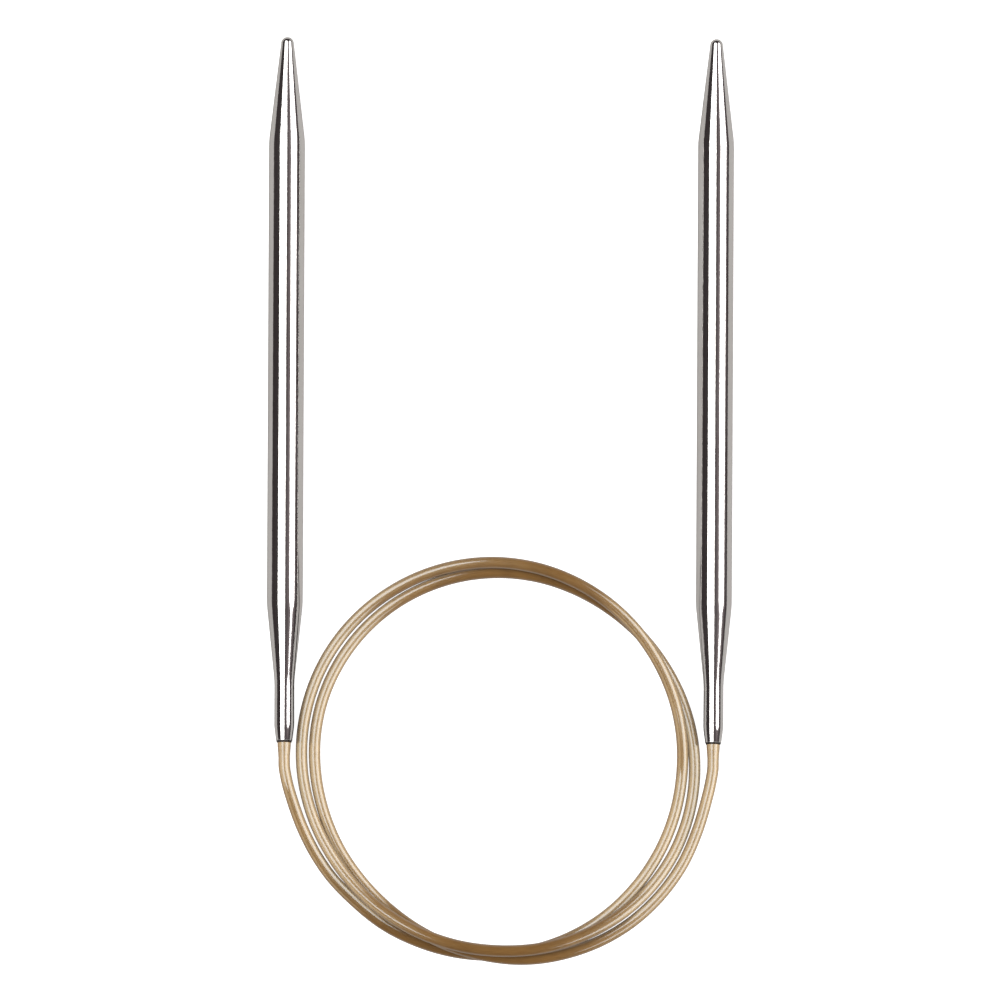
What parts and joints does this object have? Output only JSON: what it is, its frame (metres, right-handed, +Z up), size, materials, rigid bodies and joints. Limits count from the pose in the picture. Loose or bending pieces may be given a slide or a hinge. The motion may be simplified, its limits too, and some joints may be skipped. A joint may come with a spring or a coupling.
{
  "type": "circular knitting needle",
  "caption": "Hollow metal knitting needles with tapered tips on the ends of a coiled nylon cord; each needle swings and lifts as the cord bends at its neck.",
  "frame": {"origin": "on the surface the object lies on, midway between the two needles and midway along their length", "axes": "+Y along the needles towards their tips, +X towards the right needle, +Z up from the surface"},
  "size_m": [0.0838, 0.1671, 0.0065],
  "materials": {
    "plated_metal": "polished nickel plating on a thin metal tube",
    "ferrule_brass": "plain turned brass, out of sight",
    "seal": "dark sealing ring",
    "cord": "smooth gold-tan nylon, slightly translucent"
  },
  "bodies": {
    "cord": {"cord_coil": "cord", "left_cord_lead": "cord", "left_cord_swing_bend_1": "cord", "right_cord_lead": "cord", "right_cord_swing_bend_1": "cord"},
    "left_flex_1": {"left_cord_swing_bend_2": "cord"},
    "left_flex_2": {"left_cord_swing_bend_3": "cord"},
    "left_link": {"left_cord_link": "cord", "left_cord_lift_bend_1": "cord"},
    "left_flex_3": {"left_cord_lift_bend_2": "cord"},
    "left_flex_4": {"left_cord_lift_bend_3": "cord"},
    "left_needle": {"left_needle_tube": "plated_metal", "left_crimp_ferrule": "ferrule_brass", "left_cord_anchor": "cord", "left_seal_ring": "seal", "left_cord_collar": "cord"},
    "right_flex_1": {"right_cord_swing_bend_2": "cord"},
    "right_flex_2": {"right_cord_swing_bend_3": "cord"},
    "right_link": {"right_cord_link": "cord", "right_cord_lift_bend_1": "cord"},
    "right_flex_3": {"right_cord_lift_bend_2": "cord"},
    "right_flex_4": {"right_cord_lift_bend_3": "cord"},
    "right_needle": {"right_needle_tube": "plated_metal", "right_crimp_ferrule": "ferrule_brass", "right_cord_anchor": "cord", "right_seal_ring": "seal", "right_cord_collar": "cord"}
  },
  "joints": [
    {"name": "left_swing_1", "type": "hinge", "parent": "cord", "child": "left_flex_1", "pos_m": [-0.03157, -0.08611, 0.00152], "axis": [0, 0, 1], "range_deg": [0, 17], "stiffness_Nm_per_rad": 0.125, "deforming": ["left_cord_swing_bend_1"]},
    {"name": "left_swing_2", "type": "hinge", "parent": "left_flex_1", "child": "left_flex_2", "pos_m": [-0.03348, -0.08309, 0.00189], "axis": [0, 0, 1], "range_deg": [0, 17], "stiffness_Nm_per_rad": 0.125, "deforming": ["left_cord_swing_bend_2"]},
    {"name": "left_swing_3", "type": "hinge", "parent": "left_flex_2", "child": "left_link", "pos_m": [-0.03506, -0.07989, 0.00235], "axis": [0, 0, 1], "range_deg": [0, 17], "stiffness_Nm_per_rad": 0.125, "deforming": ["left_cord_swing_bend_3"]},
    {"name": "left_lift_1", "type": "hinge", "parent": "left_link", "child": "left_flex_3", "pos_m": [-0.03685, -0.07525, 0.00287], "axis": [1, 0, 0], "range_deg": [0, 20], "stiffness_Nm_per_rad": 0.125, "deforming": ["left_cord_lift_bend_1"]},
    {"name": "left_lift_2", "type": "hinge", "parent": "left_flex_3", "child": "left_flex_4", "pos_m": [-0.03791, -0.07182, 0.00315], "axis": [1, 0, 0], "range_deg": [0, 20], "stiffness_Nm_per_rad": 0.125, "deforming": ["left_cord_lift_bend_2"]},
    {"name": "left_lift_3", "type": "hinge", "parent": "left_flex_4", "child": "left_needle", "pos_m": [-0.03864, -0.0683, 0.00324], "axis": [1, 0, 0], "range_deg": [0, 20], "stiffness_Nm_per_rad": 0.125, "deforming": ["left_cord_lift_bend_3"]},
    {"name": "right_swing_1", "type": "hinge", "parent": "cord", "child": "right_flex_1", "pos_m": [0.03271, -0.08657, 0.00166], "axis": [0, 0, -1], "range_deg": [0, 17], "stiffness_Nm_per_rad": 0.125, "deforming": ["right_cord_swing_bend_1"]},
    {"name": "right_swing_2", "type": "hinge", "parent": "right_flex_1", "child": "right_flex_2", "pos_m": [0.03438, -0.0834, 0.00197], "axis": [0, 0, -1], "range_deg": [0, 17], "stiffness_Nm_per_rad": 0.125, "deforming": ["right_cord_swing_bend_2"]},
    {"name": "right_swing_3", "type": "hinge", "parent": "right_flex_2", "child": "right_link", "pos_m": [0.03571, -0.08008, 0.00236], "axis": [0, 0, -1], "range_deg": [0, 17], "stiffness_Nm_per_rad": 0.125, "deforming": ["right_cord_swing_bend_3"]},
    {"name": "right_lift_1", "type": "hinge", "parent": "right_link", "child": "right_flex_3", "pos_m": [0.03718, -0.07533, 0.00287], "axis": [1, 0, 0], "range_deg": [0, 20], "stiffness_Nm_per_rad": 0.125, "deforming": ["right_cord_lift_bend_1"]},
    {"name": "right_lift_2", "type": "hinge", "parent": "right_flex_3", "child": "right_flex_4", "pos_m": [0.03804, -0.07184, 0.00315], "axis": [1, 0, 0], "range_deg": [0, 20], "stiffness_Nm_per_rad": 0.125, "deforming": ["right_cord_lift_bend_2"]},
    {"name": "right_lift_3", "type": "hinge", "parent": "right_flex_4", "child": "right_needle", "pos_m": [0.03866, -0.0683, 0.00324], "axis": [1, 0, 0], "range_deg": [0, 20], "stiffness_Nm_per_rad": 0.125, "deforming": ["right_cord_lift_bend_3"]}
  ]
}
